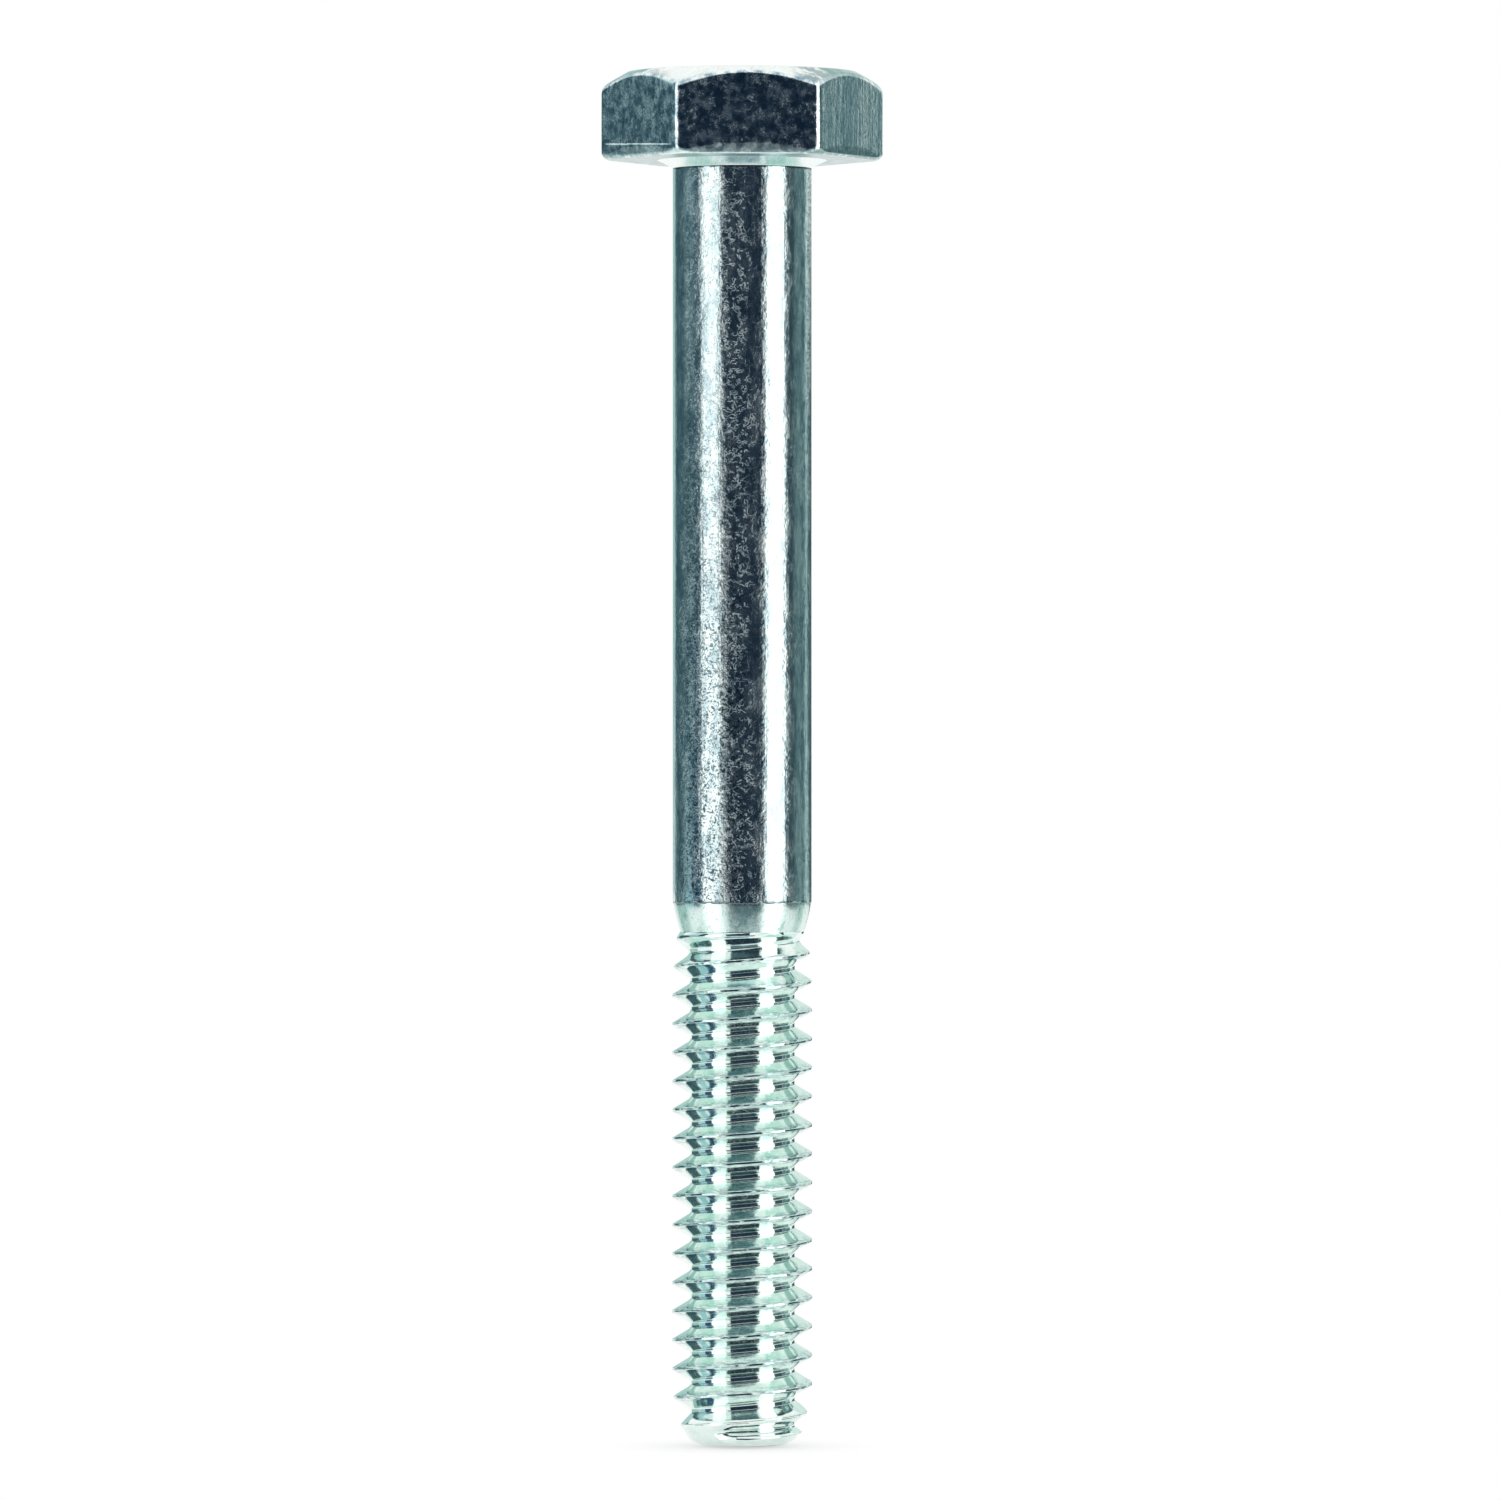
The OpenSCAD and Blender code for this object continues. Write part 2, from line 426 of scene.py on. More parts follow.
# The point: a cone above a curve, and a small rounding at the rim of the end face, as depths and heights
CONE_DEPTH, CONE_HEIGHT = 0.5, 1.9
CURVE_DEPTH, CURVE_HEIGHT = 0.72, 0.5
RIM_DEPTH, RIM_HEIGHT = 0.9, 0.12
ROOT_RIM_DEPTH, ROOT_RIM_HEIGHT = 0.5, 0.36

# The last groove closes at this turn, over this share of a turn. The crest beside it sinks by this much,
# from this height over the tip down, over the height that comes last
GROOVE_END, GROOVE_END_WIDTH = -0.28, 0.1
LAST_CREST_SINK = 0.15
LAST_CREST_TOP, LAST_CREST_HEIGHT = 0.95, 0.45

# The largest nicks in the crests, and the depth of the seam along them with its fine grain. Where the
# seam's value is below 0 there is no seam.
NICK = 0.012
SEAM_LOW, SEAM_HIGH = -0.012, 0.035
SEAM_GRAIN = 0.012


def ridge_profile():
    """The thread's section over one pitch, from a crest's middle: shares of the pitch, heights from 0 to 1,
    and how much of the crest's seam each point takes."""
    x, depth, seam = [0.0, CREST_FLAT / 2], [0.0, 0.0], [1.0, 0.5]
    turns = np.linspace(0, math.pi / 2 - FLANK, 6)[1:]
    for turn in turns:
        x.append(CREST_FLAT / 2 + CREST_CORNER * math.sin(turn))
        depth.append(CREST_CORNER * (1 - math.cos(turn)))
    corner_x, corner_depth = x[-1], depth[-1]
    for share in np.linspace(0, 1, 5)[1:]:
        x.append(corner_x + share * FLANK_DEPTH * math.tan(FLANK))
        depth.append(corner_depth + share * FLANK_DEPTH)
    for turn in turns[-2::-1]:
        x.append((PITCH - ROOT_FLAT) / 2 - ROOT_CORNER * math.sin(turn))
        depth.append(THREAD_DEPTH - ROOT_CORNER * (1 - math.cos(turn)))
    x += [(PITCH - ROOT_FLAT) / 2, PITCH / 2]
    depth += [THREAD_DEPTH, THREAD_DEPTH]
    seam += [0.0] * (len(x) - len(seam))
    x, depth, seam = np.array(x), np.array(depth), np.array(seam)
    x = np.concatenate([x, PITCH - x[-2:0:-1]])
    depth = np.concatenate([depth, depth[-2:0:-1]])
    return x / PITCH, 1 - depth / THREAD_DEPTH, np.concatenate([seam, seam[-2:0:-1]])


def along_helix(turns, seed, per_turn, low, high):
    """A smooth random value along the helix, with so many knots in each turn."""
    knots = np.random.default_rng(seed).uniform(low, high, KNOTS)
    place = (turns + TURNS_BEFORE) * per_turn
    index = np.floor(place).astype(int)
    share = smooth_step(place - index)
    return knots[index] * (1 - share) + knots[index + 1] * share


def below_taper(heights):
    """0 at the taper and 1 where the thread has its full form."""
    return np.clip((THREAD_TOP - heights) / (THREAD_TOP - FULL_THREAD), 0, 1)


def crest_envelope(heights):
    """Radius of the crests: they grow out of the blank below the taper and shrink to the point."""
    above_tip = heights - TIP
    cone = CONE_DEPTH * np.clip(1 - (above_tip - CURVE_HEIGHT) / CONE_HEIGHT, 0, None)
    curve = CURVE_DEPTH * np.clip(1 - above_tip / CURVE_HEIGHT, 0, None) ** 2
    rim = RIM_DEPTH * np.clip(1 - above_tip / RIM_HEIGHT, 0, None) ** 2
    grown = BLANK_R + (CREST_R - BLANK_R) * below_taper(heights) ** CREST_GROWTH
    return np.minimum(grown, CREST_R - cone - (curve + rim))


def root_envelope(heights):
    """Radius of the grooves, which run out quickly under the taper and into the point's end."""
    rim = ROOT_RIM_DEPTH * np.clip(1 - (heights - TIP) / ROOT_RIM_HEIGHT, 0, None) ** 2
    return BLANK_R + (ROOT_R - BLANK_R) * (1 - (1 - below_taper(heights)) ** ROOT_GROWTH) - rim


def helix_heights(wound, pitch_share):
    """Heights of the points on the helix. What would lie past an end lies on it."""
    plain = PITCH * (wound + pitch_share + THREAD_TURN)
    heights = TIP + (plain + TIP_LIFT * (1 - smooth_step(plain / TIP_LIFT_HEIGHT)))
    heights = np.where(heights < TIP + END_SNAP, TIP, heights)
    return np.where(heights > THREAD_TOP - END_SNAP, THREAD_TOP, heights)


def helix_radii(heights, wound, pitch_share, ridge, seam):
    """Radii of the points on the helix, with nicks and an uneven seam along the crest."""
    spin = wound + (pitch_share > 0.5)
    crest = crest_envelope(heights)
    crest = crest - np.abs(along_helix(spin, 21, 90, -NICK, NICK)) * (ridge > 0.9)
    closed = smooth_step((GROOVE_END - wound) / GROOVE_END_WIDTH)
    sink = smooth_step((LAST_CREST_TOP + TIP - heights) / LAST_CREST_HEIGHT)
    crest = crest - LAST_CREST_SINK * closed * sink
    root = np.minimum(root_envelope(heights) * (1 - closed) + crest * closed, crest)
    seam_depth = along_helix(spin, 33, 40, SEAM_LOW, SEAM_HIGH)
    seam_depth = seam_depth + along_helix(spin, 34, 130, -SEAM_GRAIN, SEAM_GRAIN)
    groove_share = np.clip((crest - root) / THREAD_DEPTH, 0, 1)
    return root + (crest - root) * ridge - np.clip(seam_depth, 0, None) * seam * groove_share


def helix_faces(heights, per_turn):
    """Faces between the lines of the helix, and the two flat ends. The points that lie on an end are drawn
    together into one for each station."""
    stations, lines = heights.shape
    first = np.arange(stations)[:, None] * lines
    index = first + np.arange(lines)[None, :]
    index = np.where(heights == TIP, first, index)
    index = np.where(heights == THREAD_TOP, first + lines - 1, index)
    next_turn = np.concatenate([index[0, per_turn:], np.full(per_turn, index[0, -1])])
    ring = np.vstack([index, next_turn[None, :]])
    corners = [ring[:-1, :-1], ring[1:, :-1], ring[1:, 1:], ring[:-1, 1:]]
    faces = []
    for quad in zip(*[corner.ravel().tolist() for corner in corners]):
        face = [point for i, point in enumerate(quad) if point != quad[i - 1]]
        if len(face) > 2:
            faces.append(face)
    faces.append(list(reversed(index[:, 0].tolist())))
    faces.append(index[:, -1].tolist())
    return faces


def thread_piece(material):
    shape, ridge, seam = ridge_profile()
    per_turn = len(shape)
    turns = int(math.ceil((THREAD_TOP - TIP) / PITCH)) + SPARE_TURNS
    station = np.arange(STATIONS)[:, None]
    line = np.arange(turns * per_turn)[None, :]
    in_turn = line % per_turn
    wound = line // per_turn - TURNS_BELOW + station / STATIONS
    heights = helix_heights(wound, shape[in_turn])
    radii = helix_radii(heights, wound, shape[in_turn], ridge[in_turn], seam[in_turn])
    angle = FULL_TURN * station / STATIONS
    grid = np.stack([radii * np.cos(angle), radii * np.sin(angle), heights], axis=-1).reshape(-1, 3)

    faces = helix_faces(heights, per_turn)
    used = np.unique(np.concatenate([np.array(face) for face in faces]))
    place = np.full(len(grid), -1)
    place[used] = np.arange(len(used))
    faces = [[int(place[point]) for point in face] for face in faces]
    piece("rolled_thread", grid[used], faces, material,
          ["thread_runout", "thread", "point"])


# ---------------------------------------------------------------- materials

# The plating's colours on each region: its dark and light clouds, then its marks
HEAD_DARK = (0.24, 0.38, 0.45)
HEAD_LIGHT = (0.90, 0.99, 0.98)
DRAWN_DARK = (0.38, 0.56, 0.61)
DRAWN_LIGHT = (0.98, 1.0, 0.98)
STRIP_DASH = (0.50, 0.62, 0.61)
STRIP_DRAWN = (0.30, 0.42, 0.43)
CHAMFER_BRIGHT = (0.95, 1.0, 0.98)
CHAMFER_FLECK = (0.74, 0.83, 0.81)
CHAMFER_DULL = (0.32, 0.43, 0.43)
END_DARK = (0.40, 0.51, 0.51)
END_LIGHT = (0.64, 0.74, 0.73)
# Painted shade on the shoulder and the chamfer over one face, in dark and light clouds
CORNER_SHADE_DARK = (0.26, 0.40, 0.40)
CORNER_SHADE_LIGHT = (0.40, 0.55, 0.54)

SHANK_DARK = (0.46, 0.59, 0.62)
SHANK_LIGHT = (0.90, 0.99, 0.96)
SHANK_GRAIN = (0.40, 0.52, 0.55)
SHANK_FLECK = (0.21, 0.31, 0.37)
SHANK_PIT = (0.08, 0.12, 0.14)
# Painted shadow line under the fillet, also used for the darker band at the shank's ragged end
SHANK_SHADE_AND_END = (0.10, 0.13, 0.14)

PALE_DARK = (0.66, 0.84, 0.79)
PALE_LIGHT = (0.86, 0.97, 0.93)
PALE_CRACK = (0.36, 0.48, 0.46)
# Painted light: the fillet under the head is lightened to near white
PALE_PAINTED_LIGHT = (0.97, 1.0, 0.99)

THREAD_DARK = (0.72, 0.87, 0.82)
THREAD_LIGHT = (0.90, 0.99, 0.95)
# Painted dark reflection: a grey ring along the point's bottom rim, which outlines it against the floor
TIP_RIM_SHADE = (0.30, 0.40, 0.40)
SCUFF_GREY = (0.44, 0.57, 0.58)
CREST_GREY = (0.24, 0.34, 0.36)

# Level directions from the axis: to the middle of one of the two faces that the die drew out most, and to
# the side of the shank that rubbed against other bolts
DRAWN_SIDE = (math.cos(math.radians(-30)), math.sin(math.radians(-30)), 0)
RUBBED_SIDE = (-0.492, -0.870, 0)


def rgba(colour):
    """Gives a plain colour its alpha and leaves a node's output as it is."""
    return (*colour, 1) if isinstance(colour, tuple) else colour


class Shader:
    """A short way to write shader nodes: numbers are set on the sockets, and outputs are linked."""

    def __init__(self, owner):
        owner.use_nodes = True
        self.tree = owner.node_tree
        self.tree.nodes.clear()

    def add(self, kind, inputs=None, **settings):
        node = self.tree.nodes.new(kind)
        for name, value in settings.items():
            setattr(node, name, value)
        for name, value in (inputs or {}).items():
            if isinstance(value, bpy.types.NodeSocket):
                self.tree.links.new(value, node.inputs[name])
            else:
                node.inputs[name].default_value = value
        return node

    def place(self, stretch=(1, 1, 1)):
        """Object coordinates in millimetres, with finer or longer marks along an axis."""
        where = self.add("ShaderNodeTexCoord").outputs["Object"]
        factor = tuple(s / MM for s in stretch)
        return self.add("ShaderNodeVectorMath", {0: where, 1: factor}, operation="MULTIPLY").outputs[0]

    def axes(self, where):
        return self.add("ShaderNodeSeparateXYZ", {0: where}).outputs

    def out(self, where):
        """Distance from the bolt's axis."""
        flat = self.add("ShaderNodeVectorMath", {0: where, 1: (1, 1, 0)}, operation="MULTIPLY").outputs[0]
        return self.add("ShaderNodeVectorMath", {0: flat}, operation="LENGTH").outputs["Value"]

    def along(self, where, direction):
        """Distance from the axis along a level direction."""
        return self.add("ShaderNodeVectorMath", {0: where, 1: direction},
                        operation="DOT_PRODUCT").outputs["Value"]

    def noise(self, where, scale, detail=2.0, rough=0.5, distortion=0.0):
        return self.add("ShaderNodeTexNoise", {"Vector": where, "Scale": scale, "Detail": detail,
                                               "Roughness": rough, "Distortion": distortion}).outputs[0]

    def curls(self, where, scale):
        """Short curled marks, like hairs: pieces of the contour lines of a noise."""
        line = self.size(self.math("SUBTRACT", self.noise(where, scale, 0.0, 0.5, 1.4), 0.5))
        line = self.band(line, 0.008, 0.040, 1.0, 0.0)
        return self.times(line, self.band(self.noise(where, scale * 0.9, 0.0), 0.43, 0.53))

    def band(self, value, low, high, to_low=0.0, to_high=1.0):
        """Goes smoothly from to_low to to_high while the value goes from low to high."""
        return self.add("ShaderNodeMapRange", {"Value": value, "From Min": low, "From Max": high,
                                               "To Min": to_low, "To Max": to_high},
                        interpolation_type="SMOOTHSTEP").outputs[0]

    def math(self, operation, a, b):
        return self.add("ShaderNodeMath", {0: a, 1: b}, operation=operation).outputs[0]

    def times(self, a, b):
        return self.math("MULTIPLY", a, b)

    def plus(self, a, b):
        return self.math("ADD", a, b)

    def size(self, value):
        """The value without its sign."""
        return self.math("ABSOLUTE", value, 0.0)

    def mix(self, factor, a, b):
        """Mixes two colours."""
        return self.add("ShaderNodeMix", {0: factor, 6: rgba(a), 7: rgba(b)}, data_type="RGBA").outputs[2]

    def bump(self, height, distance, normal=None, strength=1.0):
        inputs = {"Height": height, "Strength": strength, "Distance": distance * MM}
        if normal is not None:
            inputs["Normal"] = normal
        return self.add("ShaderNodeBump", inputs).outputs[0]

    def metal(self, colour, roughness, normal):
        shader = self.add("ShaderNodeBsdfPrincipled", {"Base Color": colour, "Metallic": 1.0,
                                                       "Roughness": roughness, "Normal": normal})
        self.add("ShaderNodeOutputMaterial", {"Surface": shader.outputs[0]})


def foot_strip(s, height, out):
    """Where the strip at the foot of each face lies. It ends in an arc, lower towards the edges."""
    arc_top = s.band(out, HALF_FLATS, HALF_FLATS * 1.12, 0.50, 0.24)
    return s.band(s.math("SUBTRACT", height, arc_top), -0.10, 0.06, 1.0, 0.0)


def dulled_ends(s, axes, out, where):
    """Where the chamfer is dull in patches, at two of its ends."""
    ends = s.math("MAXIMUM", s.band(axes["X"], -3.9, -3.2, 0.75, 0.1), s.band(axes["X"], 1.7, 2.6))
    patches = s.times(s.band(out, 4.9, 5.2), s.band(s.noise(where, 1.7, 4, 0.7), 0.34, 0.52))
    return s.times(patches, ends)


def painted_shade_corner(s, axes, facing):
    """Painted shade: where the shoulder and the chamfer over one face are darkened, which takes away their
    highlight there.
    """
    over_face = s.times(s.band(axes["X"], 3.0, 4.0, 0.0, 0.85), s.band(axes["Y"], -1.2, -2.2))
    return s.times(s.times(over_face, s.band(axes["Z"], 1.5, 2.2)), s.band(facing, 0.10, 0.30))


def head_material():
    material = bpy.data.materials.new("zinc_head")
    s = Shader(material)
    where = s.place()
    axes = s.axes(where)
    out = s.out(where)
    facing = s.size(s.axes(s.add("ShaderNodeTexCoord").outputs["Normal"])["Z"])
    off_side = s.band(facing, 0.35, 0.75)
    end_face = s.band(facing, 0.93, 0.985)
    foot = foot_strip(s, axes["Z"], out)

    # the two drawn faces, opposite each other
    drawn = s.band(s.size(s.along(where, DRAWN_SIDE)), HALF_FLATS - 0.25, HALF_FLATS - 0.08)
    plain = s.math("SUBTRACT", 1.0, drawn)

    cloud = s.band(s.noise(where, 2.0, 5, 0.7), 0.38, 0.62)
    fleck = s.band(s.noise(where, 7.0, 2, 0.6, 1.2), 0.52, 0.66)
    flecks = s.times(fleck, s.band(s.noise(where, 0.9, 2), 0.42, 0.6, 0.15, 1.0))
    dash = s.band(s.noise(s.place((1, 1, 2.0)), 5.0, 3, 0.6), 0.42, 0.60)
    upright = s.noise(s.place((1, 1, 0.05)), 5.0, 4, 0.7)
    broad = s.band(s.noise(s.place((1, 1, 0.16)), 1.5, 3, 0.6), 0.42, 0.58)
    streak = s.times(s.band(upright, 0.40, 0.58, 0.25, 1.0), s.plus(s.times(broad, 0.6), 0.4))

    side = s.mix(cloud, HEAD_DARK, HEAD_LIGHT)
    side = s.mix(drawn, side, s.mix(streak, DRAWN_DARK, DRAWN_LIGHT))
    side = s.mix(s.times(foot, dash), side, STRIP_DASH)
    side = s.mix(s.times(s.times(foot, drawn), 0.7), side, STRIP_DRAWN)
    bright = s.mix(flecks, CHAMFER_BRIGHT, CHAMFER_FLECK)
    bright = s.mix(dulled_ends(s, axes, out, where), bright, CHAMFER_DULL)
    bright = s.mix(end_face, bright, s.mix(cloud, END_DARK, END_LIGHT))
    colour = s.mix(off_side, side, bright)
    # painted shade that darkens the shoulder and the chamfer over one face
    colour = s.mix(painted_shade_corner(s, axes, facing), colour,
                   s.mix(cloud, CORNER_SHADE_DARK, CORNER_SHADE_LIGHT))

    rough = s.plus(s.band(cloud, 0.0, 1.0, 0.10, 0.20), s.times(flecks, 0.15))
    rough = s.plus(rough, s.times(s.times(foot, plain), 0.22))
    rough = s.times(rough, s.band(off_side, 0.0, 1.0, 1.0, 0.35))
    rough = s.plus(rough, s.times(end_face, 0.2))
    relief = s.band(off_side, 0.0, 1.0, 1.0, 0.15)
    normal = s.bump(s.noise(where, 4.5, 3, 0.6), 0.012, strength=relief)
    normal = s.bump(upright, 0.010, normal, strength=relief)
    s.metal(colour, rough, normal)
    return material


def shade_line_and_end_band(s, height, cloud):
    """A painted shadow line under the fillet, and a darker band just above the shank's ragged end, which
    both wander a little.
    """
    level = s.plus(height, s.band(cloud, 0.0, 1.0, -0.03, 0.03))
    # painted shadow along the fillet's foot
    seam = s.band(level, FILLET_BOTTOM - 0.09, FILLET_BOTTOM - 0.04)
    torn = s.band(level, SHANK_END + 0.10, SHANK_END + 0.20, 1.0, 0.0)
    return s.math("MAXIMUM", seam, s.times(torn, 0.75))


def shank_material():
    material = bpy.data.materials.new("zinc_shank")
    s = Shader(material)
    where = s.place()
    tall = s.place((1, 1, 0.35))
    height = s.axes(where)["Z"]
    cloud = s.band(s.noise(tall, 1.8, 5, 0.7), 0.34, 0.66)
    grain = s.band(s.noise(s.place((1, 1, 0.6)), 6.5, 3, 0.6), 0.42, 0.60)

    # the flecks and pits lie thickest on the rubbed side, and towards the thread
    rubbed = s.band(s.along(where, RUBBED_SIDE), 2.3, 2.95, 0.15, 1.0)
    rubbed = s.times(rubbed, s.band(height, -22.0, -2.0, 1.0, 0.6))
    patch = s.band(s.noise(tall, 0.9, 3), 0.34, 0.60, 0.45, 1.0)
    flecks = s.times(s.times(s.curls(where, 4.6), patch), rubbed)
    pitted = s.times(s.band(rubbed, 0.45, 0.95), s.band(height, -30.0, -6.0, 1.0, 0.35))
    pits = s.times(s.band(s.noise(where, 5.5, 3, 0.6, 1.5), 0.52, 0.60), pitted)

    colour = s.mix(cloud, SHANK_DARK, SHANK_LIGHT)
    colour = s.mix(s.times(grain, 0.35), colour, SHANK_GRAIN)
    colour = s.mix(flecks, colour, SHANK_FLECK)
    colour = s.mix(pits, colour, SHANK_PIT)
    colour = s.mix(shade_line_and_end_band(s, height, cloud), colour, SHANK_SHADE_AND_END)
    rough = s.plus(s.band(cloud, 0.0, 1.0, 0.10, 0.20), s.times(flecks, 0.29))
    normal = s.bump(s.noise(where, 4.5, 3, 0.6), 0.014)
    normal = s.bump(flecks, 0.007, normal)
    normal = s.bump(s.noise(s.place((1, 1, 0.04)), 6.0, 3, 0.6), 0.006, normal)
    s.metal(colour, rough, normal)
    return material


def pale_material():
    material = bpy.data.materials.new("zinc_pale")
    s = Shader(material)
    where = s.place()
    cloud = s.noise(where, 1.8, 5, 0.65)
    crack = s.band(s.noise(s.place((1, 1, 0.5)), 3.2, 3, 0.6, 1.5), 0.57, 0.64)
    # painted light, rising towards the head, which covers the fillet
    painted_light_near_head = s.band(s.axes(where)["Z"], -3.0, -1.0, 0.0, 0.75)
    colour = s.mix(s.band(cloud, 0.3, 0.7), PALE_DARK, PALE_LIGHT)
    colour = s.mix(s.times(crack, 0.6), colour, PALE_CRACK)
    colour = s.mix(painted_light_near_head, colour, PALE_PAINTED_LIGHT)
    rough = s.band(cloud, 0.3, 0.7, 0.18, 0.30)
    normal = s.bump(s.noise(where, 5.0, 3, 0.6), 0.005)
    s.metal(colour, rough, normal)
    return material


def thread_material():
    material = bpy.data.materials.new("zinc_thread")
    s = Shader(material)
    where = s.place()
    out = s.out(where)
    cloud = s.noise(where, 1.5, 5, 0.65)
    fleck = s.band(s.noise(where, 6.0, 2, 0.6, 1.2), 0.56, 0.70)
    # painted dark reflection along the rim at the point's end
    rim = s.band(s.axes(where)["Z"], TIP + 0.02, TIP + 0.12, 1.0, 0.0)

    # the rolled crests are scuffed with short grey lines
    scuffs = s.band(s.noise(s.place((0.8, 0.8, 5.0)), 2.6, 3, 0.7, 0.6), 0.44, 0.58)
    scuffs = s.times(s.band(out, 2.72, 2.98), scuffs)
    crest_edge = s.band(out, 2.99, 3.08, 0.0, 0.15)

    colour = s.mix(s.band(cloud, 0.3, 0.7), THREAD_DARK, THREAD_LIGHT)
    colour = s.mix(rim, colour, TIP_RIM_SHADE)
    colour = s.mix(scuffs, colour, SCUFF_GREY)
    colour = s.mix(crest_edge, colour, CREST_GREY)
    rough = s.plus(s.band(cloud, 0.3, 0.7, 0.06, 0.11), s.times(fleck, 0.12))
    normal = s.bump(s.noise(where, 4.5, 3, 0.6), 0.0012)
    normal = s.bump(s.noise(s.place((0.5, 0.5, 2.5)), 3.0, 3, 0.6), 0.0015, normal)
    s.metal(colour, rough, normal)
    return material


# ---------------------------------------------------------------- the studio

# The camera stands this far around the bolt from -Y, in degrees
CAMERA_TURN = -2.5
CAMERA_DISTANCE = 465 * MM
CAMERA_ASIDE = 0.345 * MM
CAMERA_HEIGHT = -26.07 * MM
# Width of the picture at the bolt's axis, and of the camera's sensor in millimetres
FIELD_WIDTH = 66.34 * MM
SENSOR_WIDTH = 36

# Distances of the cards from the bolt's axis, in metres
NEAR = 0.4
FAR = 3
# Degrees of a card's curve that one flat part of it spans
CARD_STEP = 3

WHITE = (1, 1, 1)
FLOOR_R = 6.8
FLOOR_GAP = 0.01
FLOOR_POINTS = 96
FLOOR_GREY = (0.9, 0.9, 0.9)
# The shadow fades between these distances from the axis, from this share of white on
FADE_START, FADE_END, FADE_SHARE = 2.0, 6.6, 0.55
WORLD_STRENGTH = 1.1


def card_height(elevation, radius):
    """Height on a card that lies so many degrees above the bolt's middle."""
    return (cad_low.z + cad_high.z) / 2 + radius * math.tan(math.radians(elevation))


def card_mesh(name, start, end, low, high, radius):
    columns = max(2, int((end - start) / CARD_STEP) + 1)
    bottom = card_height(low, radius)
    top = card_height(high, radius)
    points = []
    faces = []
    for i in range(columns):
        a = math.radians(CAMERA_TURN + start + (end - start) * i / (columns - 1))
        points += [(radius * math.sin(a), -radius * math.cos(a), z) for z in (bottom, top)]
        if i:
            faces.append((2 * i - 2, 2 * i, 2 * i + 1, 2 * i - 1))
    mesh = bpy.data.meshes.new(name)
    mesh.from_pydata(points, [], faces)
    return mesh


def show_card(name, mesh, material):
    """Puts a card up so that only reflections see it."""
    mesh.materials.append(material)
    made = bpy.data.objects.new(name, mesh)
    bpy.context.scene.collection.objects.link(made)
    made.visible_camera = False
    made.visible_diffuse = False
    made.visible_shadow = False


def card(name, start, end, low, high, colour, strength=1.0, radius=NEAR):
    """A curved card in one colour around the bolt. Start and end are degrees to the camera's right, and
    low and high are degrees above the bolt's middle."""
    material = bpy.data.materials.new(name)
    s = Shader(material)
    glow = s.add("ShaderNodeEmission", {"Color": rgba(colour), "Strength": strength})
    s.add("ShaderNodeOutputMaterial", {"Surface": glow.outputs[0]})
    show_card(name, card_mesh(name, start, end, low, high, radius), material)


def banded_card(name, start, end, stops):
    """A card whose colour changes upwards. Its stops are elevations with their colours, and it reaches from
    the first one to the last one."""
    bottom = card_height(stops[0][0], NEAR)
    top = card_height(stops[-1][0], NEAR)
    material = bpy.data.materials.new(name)
    s = Shader(material)
    z = s.axes(s.add("ShaderNodeTexCoord").outputs["Object"])["Z"]
    up = s.add("ShaderNodeMapRange", {"Value": z, "From Min": bottom, "From Max": top}).outputs[0]
    ramp = s.add("ShaderNodeValToRGB", {"Fac": up})
    elements = ramp.color_ramp.elements
    while len(elements) < len(stops):
        elements.new(0.5)
    for element, (elevation, _) in zip(elements, stops):
        element.position = (card_height(elevation, NEAR) - bottom) / (top - bottom)
    for element, (_, colour) in zip(elements, stops):
        element.color = rgba(colour)
    glow = s.add("ShaderNodeEmission", {"Color": ramp.outputs[0], "Strength": 1.0})
    s.add("ShaderNodeOutputMaterial", {"Surface": glow.outputs[0]})
    show_card(name, card_mesh(name, start, end, stops[0][0], stops[-1][0], NEAR), material)


def background_share(s):
    """1 for what the camera sees straight on, in the metal's reflections or through glass."""
    path = s.add("ShaderNodeLightPath").outputs
    seen = s.math("MAXIMUM", path["Is Camera Ray"], path["Is Glossy Ray"])
    return s.math("MAXIMUM", seen, path["Is Transmission Ray"])


def floor():
    """A round white floor just under the point, which keeps a soft shadow that fades towards its rim."""
    z = cad_low.z - FLOOR_GAP * MM
    ring = [(FLOOR_R * MM * math.cos(a), FLOOR_R * MM * math.sin(a), z) for a in around(FLOOR_POINTS)]
    mesh = bpy.data.meshes.new("floor")
    mesh.from_pydata(ring, [], [list(range(FLOOR_POINTS))])
    made = bpy.data.objects.new("floor", mesh)
    bpy.context.scene.collection.objects.link(made)
    material = bpy.data.materials.new("floor_white")
    s = Shader(material)
    lit = s.add("ShaderNodeBsdfDiffuse", {"Color": rgba(FLOOR_GREY)}).outputs[0]
    white = s.add("ShaderNodeEmission", {"Color": rgba(WHITE), "Strength": 1.0}).outputs[0]
    fade = s.band(s.out(s.place()), FADE_START, FADE_END, FADE_SHARE, 1.0)
    share = s.times(background_share(s), fade)
    mixed = s.add("ShaderNodeMixShader", {"Fac": share, 1: lit, 2: white}).outputs[0]
    s.add("ShaderNodeOutputMaterial", {"Surface": mixed})
    mesh.materials.append(material)


def world():
    """Soft even light, and a white background."""
    made = bpy.data.worlds.new("studio")
    bpy.context.scene.world = made
    s = Shader(made)
    soft = s.add("ShaderNodeBackground", {"Color": rgba(WHITE), "Strength": WORLD_STRENGTH}).outputs[0]
    white = s.add("ShaderNodeBackground", {"Color": rgba(WHITE), "Strength": 1.0}).outputs[0]
    mixed = s.add("ShaderNodeMixShader", {"Fac": background_share(s), 1: soft, 2: white}).outputs[0]
    s.add("ShaderNodeOutputWorld", {"Surface": mixed})


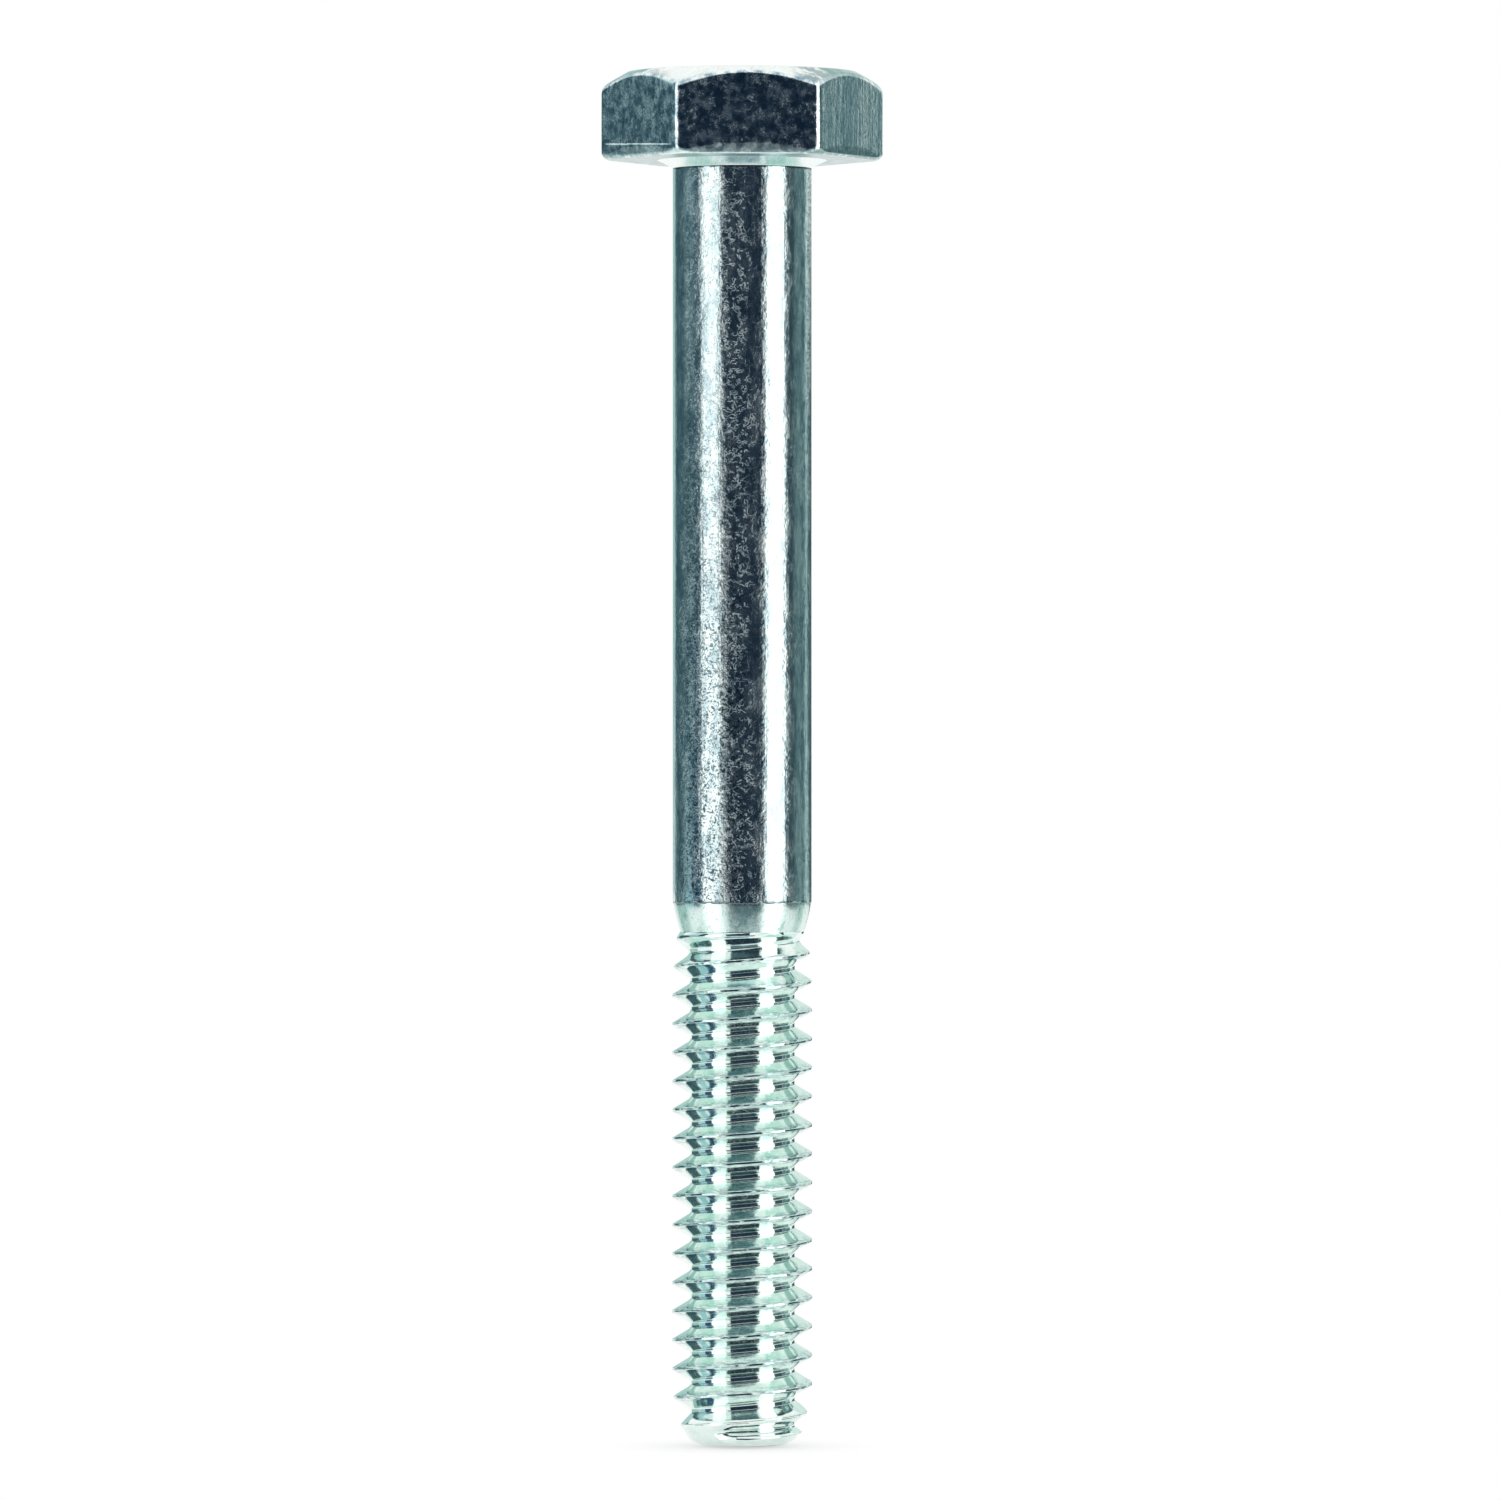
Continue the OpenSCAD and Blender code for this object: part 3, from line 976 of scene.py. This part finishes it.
def camera():
    """The photograph's view: level with the middle of the bolt, through a long lens."""
    data = bpy.data.cameras.new("camera")
    made = bpy.data.objects.new("camera", data)
    bpy.context.scene.collection.objects.link(made)
    bpy.context.scene.camera = made
    data.sensor_width = SENSOR_WIDTH
    data.lens = SENSOR_WIDTH * CAMERA_DISTANCE / FIELD_WIDTH
    data.clip_start = 0.01
    data.clip_end = 10
    azimuth = math.radians(CAMERA_TURN)
    back = Vector((math.sin(azimuth), -math.cos(azimuth), 0))
    right = Vector((math.cos(azimuth), math.sin(azimuth), 0))
    made.location = back * CAMERA_DISTANCE + right * CAMERA_ASIDE + Vector((0, 0, CAMERA_HEIGHT))
    made.rotation_mode = "QUATERNION"
    made.rotation_quaternion = (-back).to_track_quat("-Z", "Y")


def front_cards():
    """The dark flag in front with a white strip on either side, and what the lower flanks reflect."""
    navy = (0.018, 0.032, 0.054)
    slate = (0.065, 0.115, 0.14)
    mist = (0.125, 0.195, 0.215)
    glow = (0.72, 0.85, 0.89)
    dusk = (0.12, 0.21, 0.23)
    mint = (0.60, 0.84, 0.76)
    pale_mint = (0.80, 0.92, 0.88)
    card("flag_front", -37, 39.5, -1.5, 22, navy)
    banded_card("flag_low", -26, 35, [(-37, mist), (-30, mist), (-15, slate), (-10, navy), (-1.6, navy)])
    card("strip_left", -70.5, -38.5, -37, 38, WHITE, 1.5)
    card("strip_right", 41, 75, -37, 38, WHITE, 2.0)
    banded_card("glow_front", -36, 38, [(-76, glow), (-62, glow), (-58, dusk), (-49, dusk), (-46, glow),
                                        (-38, glow)])
    for name, start, end in (("mint_left", -150, -72), ("mint_right", 64, 150)):
        banded_card(name, start, end, [(-76, mint), (-42, mint), (-34, pale_mint), (-26, pale_mint)])


def side_cards():
    """The teal sides of the bands, with paler cards under them for the left grooves and the lower flanks."""
    teal = (0.060, 0.115, 0.14)
    blue = (0.03, 0.09, 0.17)
    ice = (0.42, 0.66, 0.72)
    moss = (0.40, 0.58, 0.54)
    lagoon = (0.085, 0.165, 0.18)
    deep = (0.045, 0.085, 0.10)
    petrol = (0.11, 0.205, 0.22)
    pearl = (0.75, 1.0, 0.93)
    pine = (0.14, 0.25, 0.26)
    sage = (0.40, 0.62, 0.60)
    banded_card("side_left_near", -90, -71, [(-14, blue), (-1.7, blue), (-1.3, teal), (8, teal), (10, blue),
                                             (40, blue)])
    banded_card("side_left_mid", -111, -90.5, [(-14, ice), (-1.7, ice), (-1.3, teal), (8, teal), (10, ice),
                                               (30, ice)])
    banded_card("side_left", -148, -111.5, [(-22, moss), (-7, moss), (-5.5, teal), (18, teal)])
    card("side_right_near", 75.5, 100, -16, 18, deep)
    card("side_right_mid", 100.5, 112, -16, 18, petrol)
    banded_card("side_right", 112.5, 130.5, [(-22, moss), (-7, moss), (-5.5, lagoon), (18, lagoon)])
    card("pale_right", 131, 134, -1.5, 14, pearl)
    card("side_right_far", 134.5, 142, -1.2, 6, pine)
    card("groove_right", 131, 150, -4.5, -1.6, sage)


def back_cards():
    """What the bolt reflects along its two edges, far behind it."""
    night = (0.06, 0.11, 0.13)
    dew = (0.74, 0.86, 0.82)
    reed = (0.45, 0.65, 0.62)
    card("back_right", 142.5, 171, -4.5, 3.4, night, radius=FAR)
    card("back_right_pale", 142.5, 180, 3.5, 38, dew, radius=FAR)
    card("back_left", -180, -148.5, -1.2, 30, reed, radius=FAR)


scene = bpy.context.scene
scene.view_settings.view_transform = "Standard"

head_piece(head_material())
pale_zinc = pale_material()
fillet_piece(pale_zinc)
shank_piece(shank_material())
taper_piece(pale_zinc)
thread_piece(thread_material())

camera()
world()
front_cards()
side_cards()
back_cards()
floor()
